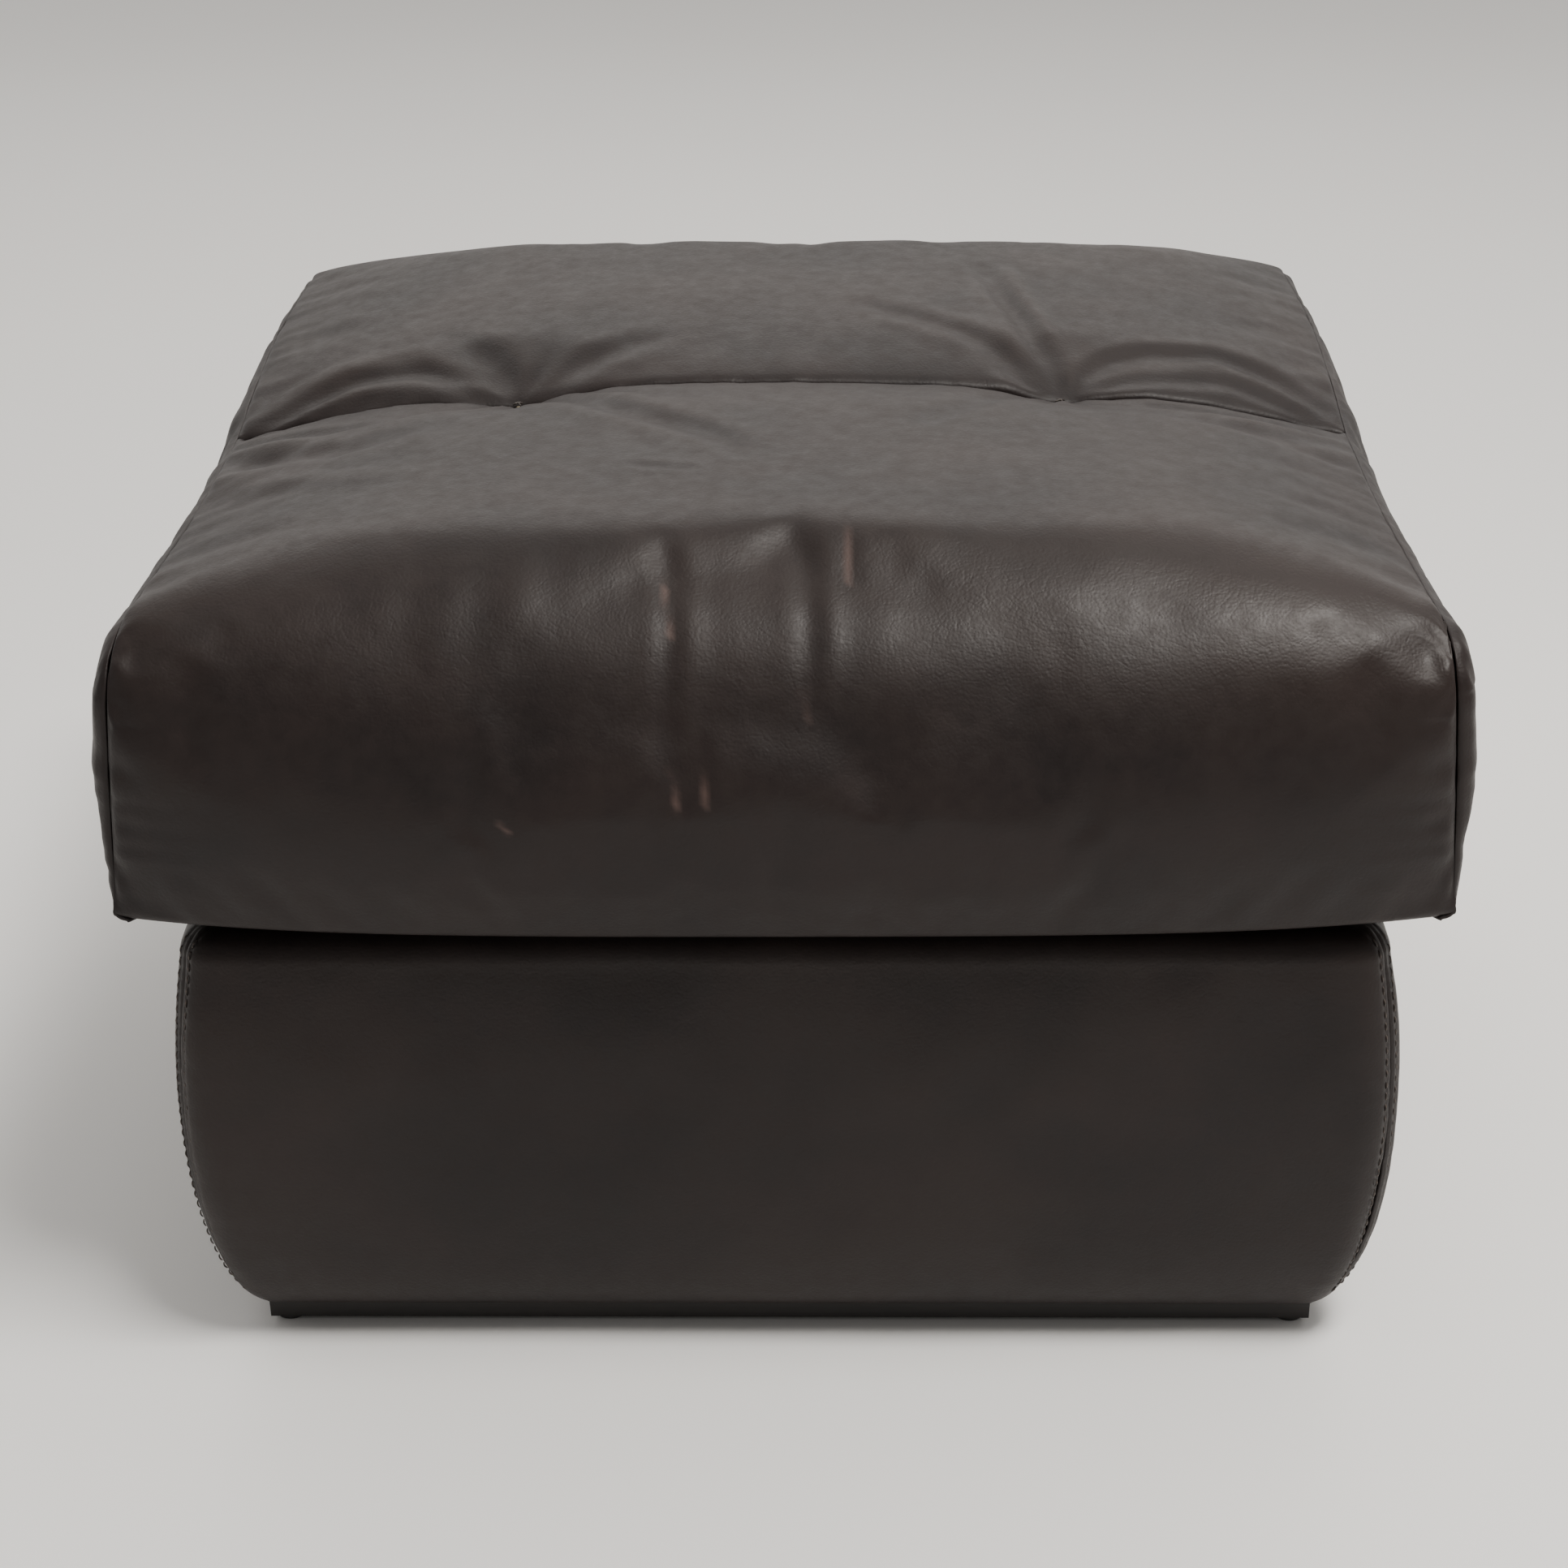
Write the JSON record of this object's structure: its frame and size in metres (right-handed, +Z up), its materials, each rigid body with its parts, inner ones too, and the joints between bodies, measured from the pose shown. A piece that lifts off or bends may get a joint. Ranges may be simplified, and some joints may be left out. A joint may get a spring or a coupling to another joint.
{
  "type": "ottoman with storage",
  "caption": "Square leather ottoman: a thick tufted cushion lid with rear hinges and slotted stays closes a padded storage box on a set-back plinth.",
  "frame": {"origin": "on the floor, under the middle of the ottoman's bounding box", "axes": "+X to the right seen from the front, -Y to the front (the hinges are at +Y), +Z up"},
  "size_m": [0.634, 0.635, 0.409],
  "materials": {
    "seat_leather": "satin",
    "base_leather": "satin",
    "lining_cloth": "matte",
    "dust_cloth": "matte",
    "board_wood": "matte",
    "plinth_wood": "matte",
    "fibre_padding": "matte",
    "seat_foam": "matte",
    "zinc_steel": "satin",
    "glide_plastic": "matte",
    "bumper_rubber": "matte",
    "tuft_twine": "matte"
  },
  "bodies": {
    "base": {"front_plinth_rail": "plinth_wood", "rear_plinth_rail": "plinth_wood", "left_plinth_rail": "plinth_wood", "right_plinth_rail": "plinth_wood", "glides": "glide_plastic", "bottom_board": "board_wood", "front_wall": "board_wood", "rear_wall": "board_wood", "left_wall": "board_wood", "right_wall": "board_wood", "frame_screws": "zinc_steel", "bottom_screws": "zinc_steel", "plinth_screws": "zinc_steel", "front_padding": "fibre_padding", "rear_padding": "fibre_padding", "left_padding": "fibre_padding", "right_padding": "fibre_padding", "front_leather": "base_leather", "rear_leather": "base_leather", "left_leather": "base_leather", "right_leather": "base_leather", "underside_staples": "zinc_steel", "dust_cover": "dust_cloth", "storage_lining": "lining_cloth", "floor_lining": "lining_cloth", "left_hinge_base_leaf": "zinc_steel", "right_hinge_base_leaf": "zinc_steel", "left_hinge_pin": "zinc_steel", "right_hinge_pin": "zinc_steel", "hinge_base_screws": "zinc_steel", "left_stay_stud": "zinc_steel", "right_stay_stud": "zinc_steel", "stay_stud_screws": "zinc_steel"},
    "lid": {"lid_board": "board_wood", "seat_foam": "seat_foam", "front_cover": "seat_leather", "rear_cover": "seat_leather", "left_boxing": "seat_leather", "right_boxing": "seat_leather", "lid_lining": "lining_cloth", "lining_staples": "zinc_steel", "left_tuft_twine": "tuft_twine", "right_tuft_twine": "tuft_twine", "tuft_toggles": "glide_plastic", "lid_bumpers": "bumper_rubber", "left_hinge_lid_leaf": "zinc_steel", "right_hinge_lid_leaf": "zinc_steel", "hinge_lid_screws": "zinc_steel", "left_stay_bracket": "zinc_steel", "right_stay_bracket": "zinc_steel", "left_stay_rivet": "zinc_steel", "right_stay_rivet": "zinc_steel", "stay_bracket_screws": "zinc_steel"},
    "left_stay": {"left_stay_arm": "zinc_steel"},
    "right_stay": {"right_stay_arm": "zinc_steel"}
  },
  "joints": [
    {"name": "lid_hinge", "type": "hinge", "parent": "base", "child": "lid", "pos_m": [0, 0.2978, 0.233], "axis": [-1, 0, 0], "range_deg": [0, 85]},
    {"name": "left_stay_pivot", "type": "hinge", "parent": "lid", "child": "left_stay", "pos_m": [-0.24335, 0.19769, 0.22371], "axis": [-1, 0, 0], "range_deg": [-42.5, 0]},
    {"name": "right_stay_pivot", "type": "hinge", "parent": "lid", "child": "right_stay", "pos_m": [0.24335, 0.19769, 0.22371], "axis": [-1, 0, 0], "range_deg": [-42.5, 0]}
  ],
  "couplings": [
    {"joint": "left_stay_pivot", "follows": "lid_hinge", "ratio": -0.5},
    {"joint": "right_stay_pivot", "follows": "lid_hinge", "ratio": -0.5}
  ]
}
